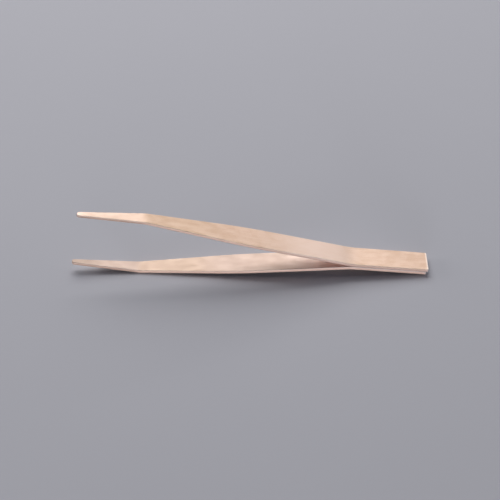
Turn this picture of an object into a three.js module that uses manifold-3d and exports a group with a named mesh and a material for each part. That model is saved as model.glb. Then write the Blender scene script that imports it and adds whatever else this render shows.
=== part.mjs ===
// Precision tweezers: two stamped and bent strips of copper-alloy sheet, spot-welded together at the tail.
// Millimetres, +Z up. They lie on a table, standing on the bend of the lower tip and on the end of the tail.
// +X runs from the tips to the tail and +Y across the width. The origin is under the middle, on the table.
//
// Each arm is one springy strip. It bends mostly just past the crotch, so it is cut there into a tail leaf,
// which stays with the welded tail, and a blade, which turns about the cut when the arms are squeezed.

import * as THREE from "three";
import { mergeVertices } from "three/addons/utils/BufferGeometryUtils.js";
import Module from "manifold-3d";

const wasm = await Module();
wasm.setup();

// Sheet
const ARM_LENGTH = 125; // measured along the strip
const THICKNESS = 1.1;
const SEAM_GAP = 0.1; // between the two welded leaves
const STAGGER = 0.6; // how much further the upper strip reaches at the tail

// Side view: straight tail, crotch bend, long arm that bows a little inwards, tip bend, straight tip
const TAIL_LENGTH = 24.4;
const CROTCH_RADIUS = 35;
const SPLAY_AT_CROTCH = THREE.MathUtils.degToRad(8.4);
const SPLAY_AT_TIP_BEND = THREE.MathUtils.degToRad(7.65);
const TIP_BEND_RADIUS = 12;
const TIP_LENGTH = 22.8; // from the end of the tip bend
const TIP_TOE_IN = THREE.MathUtils.degToRad(0.7);

// Plan view: nearly parallel sides, then a straight taper to a narrow blunt point
const TAIL_WIDTH = 9.4;
const GRIP_WIDTH = 9.7;
const POINT_WIDTH = 1.9;
const TAPER_START = 66;
const SHOULDER_REACH = 7; // how far the rounded shoulder reaches to each side of the taper's start
const POINT_CORNER_RADIUS = 0.5;

// Cut between tail leaf and blade, at the middle of the stretch that flexes
const FLEX_AT = 41;
const FLEX_GAP = 0.3;

// Spot welds: one lens-shaped nugget of fused metal for each electrode mark
const WELDS_AT = [8, 16];
const NUGGET_RADIUS = 1.5;
const NUGGET_HEIGHT = 0.7;
const NUGGET_CLEARANCE = 0.1;
const NUGGET_SIDES = 24;

const CUT_MARGIN = 5; // how far a cutting shape reaches past what it cuts

// The strip's middle line from the tail end, as straights and arcs: how long each is and how far it turns.
const crotchLength = CROTCH_RADIUS * SPLAY_AT_CROTCH;
const tipBendLength = TIP_BEND_RADIUS * (SPLAY_AT_TIP_BEND + TIP_TOE_IN);
const bowLength = ARM_LENGTH - TAIL_LENGTH - crotchLength - tipBendLength - TIP_LENGTH;
const MIDDLE_LINE = [
  { length: TAIL_LENGTH, turn: 0, steps: 1 },
  { length: crotchLength, turn: SPLAY_AT_CROTCH, steps: 8 },
  { length: bowLength, turn: SPLAY_AT_TIP_BEND - SPLAY_AT_CROTCH, steps: 14 },
  { length: tipBendLength, turn: -(SPLAY_AT_TIP_BEND + TIP_TOE_IN), steps: 6 },
  { length: TIP_LENGTH, turn: 0, steps: 1 },
];

/** Where the middle line is, and which way it heads, at a distance along the strip from the tail end. */
function middleAt(distance) {
  const at = { x: 0, z: (SEAM_GAP + THICKNESS) / 2, heading: 0 };
  let left = distance;
  for (const { length, turn } of MIDDLE_LINE) {
    const run = Math.min(left, length);
    const bend = (turn * run) / length;
    const chord = bend === 0 ? run : (2 * run * Math.sin(bend / 2)) / bend;
    at.x += chord * Math.cos(at.heading + bend / 2);
    at.z += chord * Math.sin(at.heading + bend / 2);
    at.heading += bend;
    left -= run;
  }
  return at;
}

/** The point that lies off the middle line, towards the outer face if off is positive. */
function besideMiddle({ x, z, heading }, off) {
  return new THREE.Vector2(x - off * Math.sin(heading), z + off * Math.cos(heading));
}

/** The middle line's points from one distance to another, close together where it bends. */
function middleBetween(from, to) {
  const distances = [from];
  let start = 0;
  for (const { length, steps } of MIDDLE_LINE) {
    for (let i = 0; i < steps; i++) {
      const distance = start + (length * i) / steps;
      if (distance > from && distance < to) distances.push(distance);
    }
    start += length;
  }
  distances.push(to);
  return distances.map(middleAt);
}

/** A closed geometry as a manifold-3d solid. */
function toSolid(geometry) {
  const bare = geometry.clone();
  bare.deleteAttribute("normal");
  bare.deleteAttribute("uv");
  const merged = mergeVertices(bare, 1e-4);
  return new wasm.Manifold(
    new wasm.Mesh({
      numProp: 3,
      vertProperties: new Float32Array(merged.attributes.position.array),
      triVerts: new Uint32Array(merged.index.array),
    }),
  );
}

/** A manifold-3d solid as a geometry. */
function toGeometry(solid) {
  const { vertProperties, triVerts } = solid.getMesh();
  const geometry = new THREE.BufferGeometry();
  geometry.setAttribute("position", new THREE.BufferAttribute(vertProperties, 3));
  geometry.setIndex(new THREE.BufferAttribute(triVerts, 1));
  geometry.computeVertexNormals();
  return geometry;
}

/** The stretch of strip from one distance to another, bent to its side view and as wide as the widest place. */
function bentStrip(from, to) {
  const middle = middleBetween(from, to);
  const inner = middle.map((at) => besideMiddle(at, -THICKNESS / 2));
  const outer = middle.map((at) => besideMiddle(at, THICKNESS / 2));
  const depth = GRIP_WIDTH + 2 * CUT_MARGIN;
  const strip = new THREE.ExtrudeGeometry(new THREE.Shape([...inner, ...outer.reverse()]), {
    depth,
    bevelEnabled: false,
  });
  strip.rotateX(Math.PI / 2);
  strip.translate(0, depth / 2, 0);
  return toSolid(strip);
}

/** The strip's plan view from tail end to point, as tall as the arm rises. */
function planBlank() {
  const reach = besideMiddle(middleAt(ARM_LENGTH), 0).x;
  const tail = TAIL_WIDTH / 2;
  const grip = GRIP_WIDTH / 2;
  const point = POINT_WIDTH / 2;
  const taper = (grip - point) / (reach - TAPER_START);
  const before = TAPER_START - SHOULDER_REACH;
  const after = TAPER_START + SHOULDER_REACH;
  const beforeHalf = tail + ((grip - tail) * before) / TAPER_START;
  const afterHalf = grip - taper * SHOULDER_REACH;
  const pointSide = point + taper * POINT_CORNER_RADIUS;

  const outline = new THREE.Shape();
  outline.moveTo(0, tail);
  outline.lineTo(0, -tail);
  outline.lineTo(before, -beforeHalf);
  outline.quadraticCurveTo(TAPER_START, -grip, after, -afterHalf);
  outline.lineTo(reach - POINT_CORNER_RADIUS, -pointSide);
  outline.quadraticCurveTo(reach, -point, reach, -point + POINT_CORNER_RADIUS);
  outline.lineTo(reach, point - POINT_CORNER_RADIUS);
  outline.quadraticCurveTo(reach, point, reach - POINT_CORNER_RADIUS, pointSide);
  outline.lineTo(after, afterHalf);
  outline.quadraticCurveTo(TAPER_START, grip, before, beforeHalf);

  const rise = middleAt(ARM_LENGTH).z + 2 * CUT_MARGIN;
  const blank = new THREE.ExtrudeGeometry(outline, { depth: rise, bevelEnabled: false, curveSegments: 8 });
  blank.translate(0, 0, -CUT_MARGIN);
  return toSolid(blank);
}

/** A lens standing on the seam: a spot weld's nugget, or with a clearance its pocket in the leaves. */
function nugget(clearance) {
  const radius = NUGGET_RADIUS + clearance;
  const half = NUGGET_HEIGHT / 2 + clearance;
  const profile = new THREE.SplineCurve([
    new THREE.Vector2(0, -half),
    new THREE.Vector2(radius * 0.7, -half * 0.75),
    new THREE.Vector2(radius, 0),
    new THREE.Vector2(radius * 0.7, half * 0.75),
    new THREE.Vector2(0, half),
  ]);
  const points = profile.getPoints(8);
  points[0].x = 0;
  points[points.length - 1].x = 0;
  const lens = new THREE.LatheGeometry(points, NUGGET_SIDES);
  lens.rotateX(Math.PI / 2);
  return lens;
}

const plan = planBlank();
const pockets = WELDS_AT.map((x) => toSolid(nugget(NUGGET_CLEARANCE)).translate([x, 0, 0]));

/** The welded end of a strip, up to the cut, with half a pocket for each nugget. The stagger moves the pockets. */
function tailLeaf(stagger) {
  let leaf = bentStrip(0, FLEX_AT - FLEX_GAP / 2).intersect(plan);
  for (const pocket of pockets) leaf = leaf.subtract(pocket.translate([stagger, 0, 0]));
  return toGeometry(leaf);
}

/** The moving part of a strip, from the cut to the point. */
function blade() {
  return toGeometry(bentStrip(FLEX_AT + FLEX_GAP / 2, ARM_LENGTH).intersect(plan));
}

/** How far the centre plane leans back when the bend of the lower tip and the tail's end both touch the table. */
function restingLean() {
  const outer = middleBetween(0, ARM_LENGTH).map((at) => besideMiddle(at, THICKNESS / 2));
  const [tailEnd, ...others] = outer;
  return Math.max(...others.map((at) => Math.atan2(at.y - tailEnd.y, at.x - tailEnd.x)));
}

const copperAlloy = { color: 0xe3c4ae, roughness: 0.42, metalness: 1 };
const fusedAlloy = { color: 0xb98b70, roughness: 0.6, metalness: 1 };

function piece(name, geometry, finish) {
  const mesh = new THREE.Mesh(geometry, new THREE.MeshStandardMaterial(finish));
  mesh.name = name;
  return mesh;
}

// Both arms in the tweezers' own frame: x from the tail end to the tips, z off the centre plane
const upperArm = new THREE.Group();
upperArm.position.x = -STAGGER;
upperArm.add(piece("upper_tail_leaf", tailLeaf(STAGGER), copperAlloy));
upperArm.add(piece("upper_blade", blade(), copperAlloy));

const lowerArm = new THREE.Group();
lowerArm.rotation.x = Math.PI;
lowerArm.add(piece("lower_tail_leaf", tailLeaf(0), copperAlloy));
lowerArm.add(piece("lower_blade", blade(), copperAlloy));

const leaning = new THREE.Group();
leaning.rotation.y = -restingLean();
leaning.add(upperArm, lowerArm);
WELDS_AT.forEach((x, i) => {
  const weld = piece(`weld_nugget_${i + 1}`, nugget(0), fusedAlloy);
  weld.position.x = x;
  leaning.add(weld);
});

const facing = new THREE.Group();
facing.rotation.z = Math.PI;
facing.add(leaning);

const tweezers = new THREE.Group();
tweezers.add(facing);
tweezers.updateMatrixWorld(true);
const extent = new THREE.Box3().setFromObject(tweezers, true);
const centre = extent.getCenter(new THREE.Vector3());
facing.position.set(-centre.x, -centre.y, -extent.min.z);

export default tweezers;
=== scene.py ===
import math

import bpy
from mathutils import Matrix, Vector, noise


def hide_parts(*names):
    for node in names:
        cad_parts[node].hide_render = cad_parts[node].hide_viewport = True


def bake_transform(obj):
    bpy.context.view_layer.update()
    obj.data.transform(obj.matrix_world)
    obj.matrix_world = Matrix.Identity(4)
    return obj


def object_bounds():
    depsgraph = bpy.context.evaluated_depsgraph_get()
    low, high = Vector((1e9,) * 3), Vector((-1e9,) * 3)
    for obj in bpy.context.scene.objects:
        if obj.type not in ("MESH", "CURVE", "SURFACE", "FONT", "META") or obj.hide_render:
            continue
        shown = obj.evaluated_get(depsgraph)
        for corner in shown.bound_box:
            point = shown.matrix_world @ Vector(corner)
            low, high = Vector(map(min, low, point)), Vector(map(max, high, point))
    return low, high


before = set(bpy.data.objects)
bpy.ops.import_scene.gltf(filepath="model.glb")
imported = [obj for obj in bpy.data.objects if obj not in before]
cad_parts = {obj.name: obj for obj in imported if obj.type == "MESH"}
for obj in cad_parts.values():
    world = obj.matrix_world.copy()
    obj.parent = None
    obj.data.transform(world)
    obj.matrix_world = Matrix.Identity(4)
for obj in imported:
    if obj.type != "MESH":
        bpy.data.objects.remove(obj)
cad_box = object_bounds()

# Precision tweezers: two bent strips of copper-alloy sheet, spot-welded at the tail. Metres, +Z up.
# +X runs from the tips to the tail. Each arm is one continuous strip here, which bends between the tail
# and its blade. A strip is built in its own space: along it from the tail end, across it, and through the
# sheet, where the outer face is positive and the inner face, towards the other arm, is negative.

MM = 0.001

# The driving dimensions of the strips, as the frame has them
ARM_LENGTH = 125 * MM
THICKNESS = 1.1 * MM
SEAM_GAP = 0.1 * MM
STAGGER = 0.6 * MM
TAIL_LENGTH = 24.4 * MM
CROTCH_RADIUS = 35 * MM
SPLAY_AT_CROTCH = math.radians(8.4)
SPLAY_AT_TIP_BEND = math.radians(7.65)
TIP_BEND_RADIUS = 12 * MM
TIP_LENGTH = 22.8 * MM
TIP_TOE_IN = math.radians(0.7)
TAIL_WIDTH = 9.4 * MM
GRIP_WIDTH = 9.7 * MM
POINT_WIDTH = 1.9 * MM
TAPER_START = 66 * MM
SHOULDER_REACH = 7 * MM
WELDS_AT = [8 * MM, 16 * MM]

# Stamped and tumbled edges
OUTER_EDGE_RADIUS = 0.22 * MM  # the rolled side of the cut
INNER_EDGE_RADIUS = 0.12 * MM
BURNISHED_DEPTH = 0.35 * MM  # how deep the cut wall stands straight before it breaks away
BREAKAWAY = 0.1 * MM  # how much narrower the inner face is than the outer one, on each side
TAIL_CORNER_RADIUS = 0.5 * MM  # in plan
TAIL_END_RADIUS = 0.2 * MM  # through the sheet
POINT_CORNER_RADIUS = 0.85 * MM
POINT_END_RADIUS = 0.45 * MM
SUPPORT = 0.03 * MM  # how close a supporting row of points lies to a rounded edge

# Wear and a painted highlight, which whiten the rounded edges, the tail end and the point. It is 1 at the
# tail's end; below is how far it reaches from each end
EDGE_WEAR_AND_HIGHLIGHT = 0.15  # in the middle of a rounded long edge
WALL_EDGE_WEAR_AND_HIGHLIGHT = 0.35  # where the cut wall meets that edge, as a share of it
SUPPORT_WEAR_AND_HIGHLIGHT = 0.1  # on the supporting row beside that, as a share of it too
POINT_SHINE = 0.3
TAIL_WEAR_AND_HIGHLIGHT_REACH = 0.7 * MM
POINT_WEAR_AND_HIGHLIGHT_REACH = 2.4 * MM

# Electrode marks of the welds, and the waviness of the sheet
DIMPLE_RADIUS = 1.5 * MM
DIMPLE_DEPTH = 0.02 * MM
DIMPLE_FLOOR = 0.55  # how much of the radius is flat
RIM_AT = 1.2  # the rim raised around a dimple, in its radii
RIM_WIDTH = 0.15
RIM_HEIGHT = 0.15  # in dimple depths
HEAT_CORE = 0.5  # how many dimple radii are fully discoloured
HEAT_RADIUS = 3.4 * MM
WAVE_HEIGHT = 0.004 * MM
WAVE_LENGTH = 14 * MM

# Zones of colour along the strip, from where a tint starts to show to where it is full. Two of them are
# painted light.
# Painted light: the inner face is painted paler deep between the arms, where it lies in shade
PAINTED_RECESS_LIGHT = (54 * MM, 30 * MM)  # inner face, deep between the arms
# Painted highlight: the outer face and wall are painted paler and pinker just past the crotch
PAINTED_CROTCH_HIGHLIGHT_IN = (22 * MM, 36 * MM)  # outer side, past the crotch
PAINTED_CROTCH_HIGHLIGHT_OUT = (64 * MM, 40 * MM)
WARM_IN = (70 * MM, 84 * MM)  # before the tip bend
WARM_OUT = (103 * MM, 100 * MM)
TIP = (100 * MM, 104 * MM)
TIP_INNER = (111 * MM, 124 * MM)  # inner face, towards the point

# The same through the sheet. The wall's is measured off the middle, whichever the side.
OUTER_FACE = (0.3 * THICKNESS, 0.4 * THICKNESS)
INNER_FACE = (-0.3 * THICKNESS, -0.4 * THICKNESS)
OUTER_SIDE = (-0.3 * THICKNESS, 0.4 * THICKNESS)
CUT_WALL = (0.36 * THICKNESS, 0.3 * THICKNESS)

# Mesh density. Each stretch says how far it reaches and how far apart its cross-sections are.
FACE_STEPS = 32
ARC_STEPS = 5
END_ARC_STEPS = 7
OUTLINE_STEPS = 500  # along the strip, to find where it touches the table and how far it reaches
CLOSEST_STATIONS = SUPPORT / 6
STRETCHES = [(5 * MM, 0.4 * MM), (19.5 * MM, 0.22 * MM), (97 * MM, 0.5 * MM), (104 * MM, 0.2 * MM)]
TIP_STEP = 0.35 * MM

# Where each arm starts and stops bending as it is squeezed, on both sides of its hinge
FLEX_FROM = 26 * MM
FLEX_TO = 56 * MM

# Camera, with angles in degrees and lens and sensor in millimetres
LENS = 131.1
SENSOR_WIDTH = 36
CAMERA_FROM = (-1.615, 40)  # azimuth and elevation
CAMERA_ROLL = 0.618
CAMERA_AIM = Vector((-0.000092, 0, 0.008022))
CAMERA_DISTANCE = 0.6384
NEAREST_SEEN = 0.01

# Studio
FLOOR_HALF = 4.0
SKY_STRENGTH = 0.036

crotch_length = CROTCH_RADIUS * SPLAY_AT_CROTCH
tip_bend_length = TIP_BEND_RADIUS * (SPLAY_AT_TIP_BEND + TIP_TOE_IN)
bow_length = ARM_LENGTH - TAIL_LENGTH - crotch_length - tip_bend_length - TIP_LENGTH
MIDDLE_LINE = [
    (TAIL_LENGTH, 0),
    (crotch_length, SPLAY_AT_CROTCH),
    (bow_length, SPLAY_AT_TIP_BEND - SPLAY_AT_CROTCH),
    (tip_bend_length, -SPLAY_AT_TIP_BEND - TIP_TOE_IN),
    (TIP_LENGTH, 0),
]


def middle_at(distance):
    """Where a strip's middle line is, and which way it heads, at a distance from the tail end."""
    x, z, heading = 0.0, (SEAM_GAP + THICKNESS) / 2, 0.0
    left = distance
    for length, turn in MIDDLE_LINE:
        run = min(left, length)
        bend = turn * run / length
        chord = 2 * run * math.sin(bend / 2) / bend if bend else run
        x += chord * math.cos(heading + bend / 2)
        z += chord * math.sin(heading + bend / 2)
        heading += bend
        left -= run
    return x, z, heading


def beside_middle(middle, across, through):
    """The point that lies across and through the strip from a place on its middle line."""
    x, z, heading = middle
    return Vector((x - through * math.sin(heading), across, z + through * math.cos(heading)))


def strip_point(along, across, through):
    """A point of an arm, from its place along, across and through the strip."""
    return beside_middle(middle_at(along), across, through)


REACH = middle_at(ARM_LENGTH)[0]


def plan_half_width(x):
    """Half the strip's width in plan: nearly parallel, a rounded shoulder, then a straight taper."""
    tail, grip, point = TAIL_WIDTH / 2, GRIP_WIDTH / 2, POINT_WIDTH / 2
    taper = (grip - point) / (REACH - TAPER_START)
    before = TAPER_START - SHOULDER_REACH
    before_half = tail + (grip - tail) * before / TAPER_START
    after_half = grip - taper * SHOULDER_REACH
    if x < before:
        return tail + (grip - tail) * x / TAPER_START
    if x > TAPER_START + SHOULDER_REACH:
        return grip - taper * (x - TAPER_START)
    t = (x - before) / (2 * SHOULDER_REACH)
    return (1 - t) ** 2 * before_half + 2 * t * (1 - t) * grip + t**2 * after_half


def arc_drop(distance, radius):
    """How far a quarter-round edge has dropped away at a distance from its end."""
    inside = radius - min(distance, radius)
    return radius - math.sqrt(radius**2 - inside**2)


def end_distances(*radii):
    """Distances from an end that follow rounded edges of these radii."""
    steps = range(END_ARC_STEPS + 1)
    return {radius * (1 - math.cos(math.pi / 2 * i / END_ARC_STEPS)) for radius in radii for i in steps}


def stations():
    """Distances along the strip where it gets a cross-section."""
    tail = end_distances(TAIL_END_RADIUS, INNER_EDGE_RADIUS, TAIL_CORNER_RADIUS)
    from_point = end_distances(POINT_END_RADIUS, INNER_EDGE_RADIUS, POINT_CORNER_RADIUS)
    point = {ARM_LENGTH - distance for distance in from_point}
    places = sorted(tail)
    for until, step in [*STRETCHES, (min(point) - TIP_STEP / 2, TIP_STEP)]:
        start = places[-1]
        count = max(1, round((until - start) / step))
        places += [start + (until - start) * i / count for i in range(1, count + 1)]
    places += sorted(point)
    kept = places[:1]
    for place in places[1:]:
        if place - kept[-1] > CLOSEST_STATIONS:
            kept.append(place)
    return kept


def flat_rows(low, high):
    """Places from one edge of a flat face to the other, with a supporting row close to each edge."""
    support = min(SUPPORT, (high - low) / 8)
    inner = [low + (high - low) * i / FACE_STEPS for i in range(1, FACE_STEPS)]
    return [low, low + support, *inner, high - support, high]


def corner(across, through, radius, start_deg):
    """The rows of a quarter round about a centre, clockwise from an angle, with most wear and painted
    highlight in the middle.
    """
    rows = []
    for i in range(1, ARC_STEPS):
        angle = math.radians(start_deg - 90 * i / ARC_STEPS)
        wear_and_highlight = math.sin(math.pi * i / ARC_STEPS)
        rows.append((across + radius * math.cos(angle), through + radius * math.sin(angle), wear_and_highlight))
    return rows


def section(half, outer, inner):
    """A strip's cross-section as rows of across, through and the share of wear and painted highlight,
    clockwise from the outer face.

    The radii shrink where the section gets small, at the ends.
    """
    outer_radius = min(OUTER_EDGE_RADIUS, half * 0.45, (outer - inner) * 0.3)
    inner_radius = min(INNER_EDGE_RADIUS, half * 0.3, (outer - inner) * 0.2)
    break_away = min(BREAKAWAY, half * 0.1)
    burnished_to = outer - outer_radius - min(BURNISHED_DEPTH, (outer - inner) * 0.3)
    inner_half = half - break_away

    def broken(share):
        """A row of the broken-away wall, a share of the way from burnished part to inner edge."""
        drop = (inner + inner_radius - burnished_to) * share
        return (half - break_away * share, burnished_to + drop, 0)

    wall = [
        (half, outer - outer_radius, WALL_EDGE_WEAR_AND_HIGHLIGHT),
        (half, outer - outer_radius - SUPPORT, SUPPORT_WEAR_AND_HIGHLIGHT),
        (half, (outer - outer_radius + burnished_to) / 2, 0),
        (half, burnished_to, 0),
        broken(0.3),
        broken(0.65),
        (inner_half - SUPPORT * 0.1, inner + inner_radius + SUPPORT, SUPPORT_WEAR_AND_HIGHLIGHT),
        (inner_half, inner + inner_radius, WALL_EDGE_WEAR_AND_HIGHLIGHT),
    ]
    rows = [(y, outer, 0) for y in flat_rows(-half + outer_radius, half - outer_radius)]
    rows += corner(half - outer_radius, outer - outer_radius, outer_radius, 90)
    rows += wall
    rows += corner(inner_half - inner_radius, inner + inner_radius, inner_radius, 0)
    inner_rows = flat_rows(-inner_half + inner_radius, inner_half - inner_radius)
    rows += [(y, inner, 0) for y in reversed(inner_rows)]
    rows += corner(-inner_half + inner_radius, inner + inner_radius, inner_radius, -90)
    rows += [(-y, z, wear_and_highlight) for y, z, wear_and_highlight in reversed(wall)]
    rows += corner(-half + outer_radius, outer - outer_radius, outer_radius, 180)
    return rows


def smoothstep(value, low, high):
    """0 up to low, 1 from high, and a smooth rise between them."""
    t = min(1, max(0, (value - low) / (high - low)))
    return t * t * (3 - 2 * t)


def dimple(distance):
    """How deep an electrode has pressed the outer face at a distance from the weld's middle."""
    sunk = 1 - smoothstep(distance, DIMPLE_RADIUS * DIMPLE_FLOOR, DIMPLE_RADIUS)
    rim = math.exp(-(((distance / DIMPLE_RADIUS) - RIM_AT) / RIM_WIDTH) ** 2)
    return DIMPLE_DEPTH * (sunk - RIM_HEIGHT * rim)


def arm_mesh(name, welds, seed):
    """One arm as a closed loft, in its own space.

    Welds are distances along it, and the seed sets its waves.
    """
    points, faces, strip, wear_and_highlight, heat = [], [], [], [], []
    places = stations()
    rings = [(places[0], SUPPORT), *[(place, 0) for place in places], (places[-1], SUPPORT)]
    for along, shrink in rings:
        to_tail, to_point = along - places[0], ARM_LENGTH - along
        middle = middle_at(along)
        half = plan_half_width(middle[0]) - shrink
        half -= arc_drop(to_tail, TAIL_CORNER_RADIUS) + arc_drop(to_point, POINT_CORNER_RADIUS)
        outer = THICKNESS / 2 - shrink
        outer -= arc_drop(to_tail, TAIL_END_RADIUS) + arc_drop(to_point, POINT_END_RADIUS)
        inner = -THICKNESS / 2 + shrink
        inner += arc_drop(to_tail, INNER_EDGE_RADIUS) + arc_drop(to_point, INNER_EDGE_RADIUS)
        # The tail end and the point are worn and also painted whiter as a highlight
        end_wear_and_highlight = 1 - smoothstep(to_tail, TAIL_END_RADIUS, TAIL_WEAR_AND_HIGHLIGHT_REACH)
        end_wear_and_highlight = max(end_wear_and_highlight, POINT_SHINE - POINT_SHINE * smoothstep(to_point, 0, POINT_WEAR_AND_HIGHLIGHT_REACH))
        for across, through, edge_wear_and_highlight in section(half, outer, inner):
            wave = WAVE_HEIGHT * noise.noise(Vector((along / WAVE_LENGTH, across / WAVE_LENGTH, seed)))
            from_weld = min(math.hypot(along - weld, across) for weld in welds)
            sunk = dimple(from_weld) if through == outer else 0
            points.append(beside_middle(middle, across, through + wave - sunk))
            strip.append((along, across, through))
            wear_and_highlight.append(max(EDGE_WEAR_AND_HIGHLIGHT * edge_wear_and_highlight, end_wear_and_highlight))
            heat.append(1 - smoothstep(from_weld, DIMPLE_RADIUS * HEAT_CORE, HEAT_RADIUS))

    count = len(points) // len(rings)
    for ring in range(len(rings) - 1):
        for i in range(count):
            a, b = ring * count + i, ring * count + (i + 1) % count
            faces.append((a, b, b + count, a + count))
    faces += end_cap(0, count, True) + end_cap((len(rings) - 1) * count, count, False)

    mesh = bpy.data.meshes.new(name)
    mesh.from_pydata(points, [], faces)
    mesh.polygons.foreach_set("use_smooth", [True] * len(faces))
    mesh.attributes.new("strip", "FLOAT_VECTOR", "POINT").data.foreach_set("vector", sum(strip, ()))
    mesh.attributes.new("wear_and_highlight", "FLOAT", "POINT").data.foreach_set("value", wear_and_highlight)
    mesh.attributes.new("heat", "FLOAT", "POINT").data.foreach_set("value", heat)
    return mesh


def end_cap(first, count, at_tail):
    """Faces that close one end: quads from outer to inner face, and one face over each rounded side."""
    face_points = FACE_STEPS + 3
    side_points = count // 2 - face_points
    caps = []
    for i in range(face_points - 1):
        across = count // 2 + face_points - 1 - i
        caps.append((i, i + 1, across - 1, across))
    caps.append(tuple(range(face_points - 1, face_points + side_points + 1)))
    caps.append(tuple(range(count - side_points - 1, count)) + (0,))
    caps = [tuple(first + i for i in cap) for cap in caps]
    return [cap[::-1] for cap in caps] if at_tail else caps


def resting_lean():
    """How far the centre plane leans back when the lower tip bend and the tail end touch the table."""
    tail_end = strip_point(0, 0, THICKNESS / 2)
    rises = []
    for i in range(1, OUTLINE_STEPS + 1):
        point = strip_point(ARM_LENGTH * i / OUTLINE_STEPS, 0, THICKNESS / 2)
        rises.append(math.atan2(point.z - tail_end.z, point.x - tail_end.x))
    return max(rises)


def arm_places():
    """The matrices that take the upper and the lower arm from their own space to the frame."""
    upper = Matrix.Translation((-STAGGER, 0, 0))
    lower = Matrix.Rotation(math.pi, 4, "X")
    turn = Matrix.Rotation(math.pi, 4, "Z") @ Matrix.Rotation(-resting_lean(), 4, "Y")
    outlines = []
    for arm in (upper, lower):
        for i in range(OUTLINE_STEPS + 1):
            for through in (-THICKNESS / 2, THICKNESS / 2):
                outlines.append(turn @ arm @ strip_point(ARM_LENGTH * i / OUTLINE_STEPS, 0, through))
    left, right = min(p.x for p in outlines), max(p.x for p in outlines)
    bottom = min(p.z for p in outlines)
    low, high = cad_box
    shift = Matrix.Translation(((low.x + high.x - left - right) / 2, 0, low.z - bottom))
    return shift @ turn @ upper, shift @ turn @ lower


class Graph:
    """A material's nodes. Each call adds one node, fed with values or other nodes' sockets."""

    def __init__(self, name):
        self.material = bpy.data.materials.new(name)
        self.material.use_nodes = True
        self.tree = self.material.node_tree
        self.shader = self.tree.nodes["Principled BSDF"]

    def add(self, kind, values, **settings):
        node = self.tree.nodes.new("ShaderNode" + kind)
        for setting, value in settings.items():
            setattr(node, setting, value)
        for socket, value in values.items():
            self.feed(node, socket, value)
        return node

    def feed(self, node, socket, value):
        if isinstance(value, bpy.types.NodeSocket):
            self.tree.links.new(value, node.inputs[socket])
        else:
            node.inputs[socket].default_value = value

    def attribute(self, name):
        return self.add("Attribute", {}, attribute_name=name)

    def stretched(self, vector, *scales):
        return self.add("VectorMath", {0: vector, 1: scales}, operation="MULTIPLY").outputs["Vector"]

    def noise(self, vector, detail=2.0, roughness=0.5):
        values = {"Vector": vector, "Scale": 1.0, "Detail": detail, "Roughness": roughness}
        return self.add("TexNoise", values).outputs[0]

    def ramp(self, value, low, high, to_low=0.0, to_high=1.0):
        values = {0: value, 1: low, 2: high, 3: to_low, 4: to_high}
        return self.add("MapRange", values, interpolation_type="SMOOTHSTEP").outputs[0]

    def math(self, operation, *values):
        return self.add("Math", dict(enumerate(values)), operation=operation).outputs[0]

    def mix(self, factor, first, second):
        values = {0: factor, 6: first, 7: second}
        return self.add("Mix", values, data_type="RGBA").outputs[2]


def colour(red, green, blue):
    return (red, green, blue, 1.0)


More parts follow.
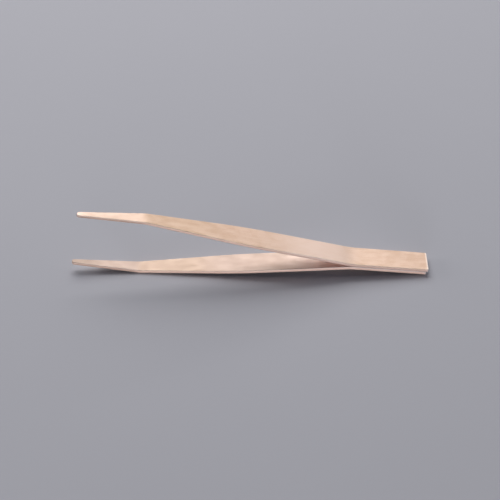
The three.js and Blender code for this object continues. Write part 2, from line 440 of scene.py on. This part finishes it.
def copper_alloy():
    """Rolled copper-alloy sheet with a matte tumbled finish.

    It has patches, streaks along the strip, zones of other tints, two of them painted light, and bright
    edges that are worn and also carry a painted highlight. The scales of the noises are in features per
    metre: along, across and through the strip.
    """
    graph = Graph("tumbled_copper_alloy")
    strip = graph.attribute("strip").outputs["Vector"]
    parts = graph.add("SeparateXYZ", {0: strip}).outputs
    along, through = parts[0], parts[2]
    # Wear and painted highlight on the rounded edges, the tail end and the point
    wear_and_highlight = graph.attribute("wear_and_highlight").outputs["Fac"]
    heat = graph.attribute("heat").outputs["Fac"]

    patches = graph.noise(graph.stretched(strip, 240, 480, 480), 3.0, 0.65)
    streaks = graph.noise(graph.stretched(strip, 38, 1700, 1700), 3.0, 0.6)
    lines = graph.noise(graph.stretched(strip, 120, 9000, 9000), 2.0, 0.6)
    grain = graph.noise(graph.stretched(strip, 5200, 5200, 5200), 2.0, 0.65)

    off_middle = graph.math("ABSOLUTE", through)
    wall = graph.ramp(off_middle, *CUT_WALL)
    inner = graph.ramp(through, *INNER_FACE)
    # Painted light on the inner face deep between the arms, where it lies in shade
    painted_recess_light = graph.math("MULTIPLY", inner, graph.ramp(along, *PAINTED_RECESS_LIGHT))
    # Painted highlight on the outer face and wall just past the crotch
    painted_crotch_highlight = graph.math("MULTIPLY", graph.ramp(along, *PAINTED_CROTCH_HIGHLIGHT_IN), graph.ramp(along, *PAINTED_CROTCH_HIGHLIGHT_OUT))
    painted_crotch_highlight = graph.math("MULTIPLY", painted_crotch_highlight, graph.ramp(through, *OUTER_SIDE))
    warm = graph.math("MULTIPLY", graph.ramp(along, *WARM_IN), graph.ramp(along, *WARM_OUT))
    tip = graph.ramp(along, *TIP)
    tip_outer = graph.math("MULTIPLY", tip, graph.ramp(through, *OUTER_FACE))
    tip_wall = graph.math("MULTIPLY", tip, wall)
    tip_inner = graph.math("MULTIPLY", inner, graph.ramp(along, *TIP_INNER))

    tint = graph.mix(graph.ramp(patches, 0.38, 0.66), colour(0.80, 0.58, 0.45), colour(0.76, 0.53, 0.385))
    tint = graph.mix(graph.ramp(streaks, 0.35, 0.75, 0.0, 0.45), tint, colour(0.86, 0.67, 0.55))
    tint = graph.mix(graph.ramp(grain, 0.3, 0.5, 0.22, 0.0), tint, colour(0.50, 0.32, 0.22))
    layers = [
        (heat, 0.35, colour(0.62, 0.39, 0.24)),
        (inner, 0.85, colour(0.61, 0.475, 0.408)),
        # painted light: paler inner face in the shade between the arms
        (painted_recess_light, 0.85, colour(0.98, 0.79, 0.72)),
        # painted highlight: paler, pinker band past the crotch
        (painted_crotch_highlight, 0.9, colour(0.96, 0.75, 0.64)),
        (warm, 0.35, colour(0.62, 0.44, 0.29)),
        (tip_outer, 0.7, colour(0.70, 0.53, 0.43)),
        (wall, 0.75, colour(0.92, 0.64, 0.54)),
        (tip_wall, 0.75, colour(0.58, 0.39, 0.31)),
        # whitish tint: partly wear, partly a painted highlight on edges, tail end and point
        (wear_and_highlight, 0.6, colour(0.97, 0.90, 0.85)),
        (tip_inner, 0.85, colour(0.45, 0.335, 0.27)),
    ]
    for mask, share, layer in layers:
        tint = graph.mix(graph.math("MULTIPLY", mask, share), tint, layer)
    graph.feed(graph.shader, "Base Color", tint)

    rough = graph.ramp(patches, 0.3, 0.7, 0.52, 0.62)
    rough = graph.math("ADD", rough, graph.ramp(lines, 0.3, 0.7, -0.05, 0.05))
    rough = graph.math("MULTIPLY_ADD", wear_and_highlight, -0.16, rough)
    rough = graph.math("MULTIPLY_ADD", wall, 0.1, rough)
    rough = graph.math("MULTIPLY_ADD", tip_outer, -0.05, rough)
    graph.feed(graph.shader, "Roughness", rough)
    graph.shader.inputs["Metallic"].default_value = 0.45

    height = graph.math("MULTIPLY_ADD", lines, 0.5, graph.math("MULTIPLY", grain, 0.5))
    height = graph.math("MULTIPLY_ADD", streaks, 0.6, height)
    bump = graph.add("Bump", {"Strength": 0.5, "Distance": 0.00002, "Height": height})
    graph.feed(graph.shader, "Normal", bump.outputs["Normal"])
    return graph.material


def weld_metal():
    """Fused metal of the spot welds: cast grain, heat-darkened."""
    graph = Graph("fused_weld_metal")
    place = graph.add("TexCoord", {}).outputs["Object"]
    clouds = graph.noise(graph.stretched(place, 900, 900, 900), 3.0, 0.6)
    grain = graph.noise(graph.stretched(place, 6000, 6000, 6000), 2.0, 0.6)
    tint = graph.mix(graph.ramp(clouds, 0.35, 0.65), colour(0.49, 0.27, 0.17), colour(0.36, 0.22, 0.19))
    graph.feed(graph.shader, "Base Color", tint)
    graph.feed(graph.shader, "Roughness", graph.ramp(grain, 0.3, 0.7, 0.5, 0.7))
    graph.shader.inputs["Metallic"].default_value = 0.9
    bump = graph.add("Bump", {"Strength": 0.6, "Distance": 0.00004, "Height": grain})
    graph.feed(graph.shader, "Normal", bump.outputs["Normal"])
    return graph.material


def floor_paper():
    """Pale bluish-grey background paper."""
    graph = Graph("background_paper")
    place = graph.add("TexCoord", {}).outputs["Object"]
    clouds = graph.noise(graph.stretched(place, 9, 9, 9), 3.0, 0.5)
    fibres = graph.noise(graph.stretched(place, 2500, 2500, 2500), 2.0, 0.6)
    tint = graph.mix(clouds, colour(0.52, 0.52, 0.568), colour(0.54, 0.54, 0.588))
    graph.feed(graph.shader, "Base Color", tint)
    graph.shader.inputs["Roughness"].default_value = 0.9
    bump = graph.add("Bump", {"Strength": 0.2, "Distance": 0.00003, "Height": fibres})
    graph.feed(graph.shader, "Normal", bump.outputs["Normal"])
    return graph.material


def add_arms():
    """Both arms as meshes that stand for their CAD leaf and blade."""
    alloy = copper_alloy()
    arms = [("upper", STAGGER, 0.0), ("lower", 0.0, 7.3)]
    for (side, stagger, seed), place in zip(arms, arm_places()):
        mesh = arm_mesh(f"{side}_arm", [weld + stagger for weld in WELDS_AT], seed)
        arm = bpy.data.objects.new(f"{side}_arm", mesh)
        arm.data.transform(place)
        arm.data.materials.append(alloy)
        bpy.context.scene.collection.objects.link(arm)
        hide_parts(f"{side}_tail_leaf", f"{side}_blade")
        start, end = place @ strip_point(FLEX_FROM, 0, 0), place @ strip_point(FLEX_TO, 0, 0)
        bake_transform(arm)


def finish_nuggets():
    """The weld nuggets stay as the frame has them, with fused metal on them."""
    fused = weld_metal()
    for i in range(len(WELDS_AT)):
        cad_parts[f"weld_nugget_{i + 1}"].material_slots[0].material = fused


def add_floor():
    """A square of background paper that the object lies on. It is part of the stage, not of the model."""
    mesh = bpy.data.meshes.new("floor")
    h = FLOOR_HALF
    mesh.from_pydata([(-h, -h, 0), (h, -h, 0), (h, h, 0), (-h, h, 0)], [], [(0, 1, 2, 3)])
    mesh.materials.append(floor_paper())
    floor = bpy.data.objects.new("floor", mesh)
    bpy.context.scene.collection.objects.link(floor)


def away(azimuth, elevation):
    """The direction from the object to a camera or light.

    Azimuth 0 is in front, at -Y, and 90 is at +X.
    """
    a, e = math.radians(azimuth), math.radians(elevation)
    return Vector((math.sin(a) * math.cos(e), -math.cos(a) * math.cos(e), math.sin(e)))


def add_camera():
    """A long lens that looks down on the tweezers from in front, turned a little about its own axis."""
    data = bpy.data.cameras.new("camera")
    data.lens = LENS
    data.sensor_width = SENSOR_WIDTH
    data.clip_start = NEAREST_SEEN
    camera = bpy.data.objects.new("camera", data)
    bpy.context.scene.collection.objects.link(camera)
    back = away(*CAMERA_FROM)
    roll = Matrix.Rotation(math.radians(CAMERA_ROLL), 4, back)
    facing = back.to_track_quat("Z", "Y").to_matrix().to_4x4()
    camera.matrix_world = Matrix.Translation(CAMERA_AIM + back * CAMERA_DISTANCE) @ roll @ facing
    bpy.context.scene.camera = camera


def add_light(name, azimuth, elevation, distance, width, height, power, tint, spread=180):
    """A rectangular softbox that faces the object, with its width level. A grid can narrow its spread.

    Angles are in degrees and the power is in watts.
    """
    data = bpy.data.lights.new(name, "AREA")
    data.shape = "RECTANGLE"
    data.size = width
    data.size_y = height
    data.spread = math.radians(spread)
    data.energy = power
    data.color = tint
    light = bpy.data.objects.new(name, data)
    bpy.context.scene.collection.objects.link(light)
    back = away(azimuth, elevation)
    turn = back.to_track_quat("Z", "Y").to_matrix().to_4x4()
    light.matrix_world = Matrix.Translation(back * distance) @ turn
    light.visible_camera = False


def add_studio():
    """Two large soft lights from behind and above, weaker ones from the left and front, and a blue sky."""
    world = bpy.data.worlds.new("studio")
    world.use_nodes = True
    background = world.node_tree.nodes["Background"]
    background.inputs["Color"].default_value = colour(0.31, 0.53, 1.0)
    background.inputs["Strength"].default_value = SKY_STRENGTH
    bpy.context.scene.world = world
    bpy.context.scene.view_settings.view_transform = "Standard"
    add_light("key", 190, 40.5, 1.6, 1.55, 1.15, 21.6, (1.0, 0.985, 0.97))
    add_light("overhead", 165, 62, 1.8, 2.6, 1.4, 6.6, (1.0, 0.985, 0.98))
    add_light("left_fill", 258, 13, 1.5, 0.6, 0.4, 4.5, (1.0, 0.98, 0.97))
    add_light("front_fill", -8, 3.2, 1.5, 0.4, 0.14, 0.27, (0.90, 0.95, 1.0), spread=24)


add_camera()
add_arms()
finish_nuggets()
add_floor()
add_studio()
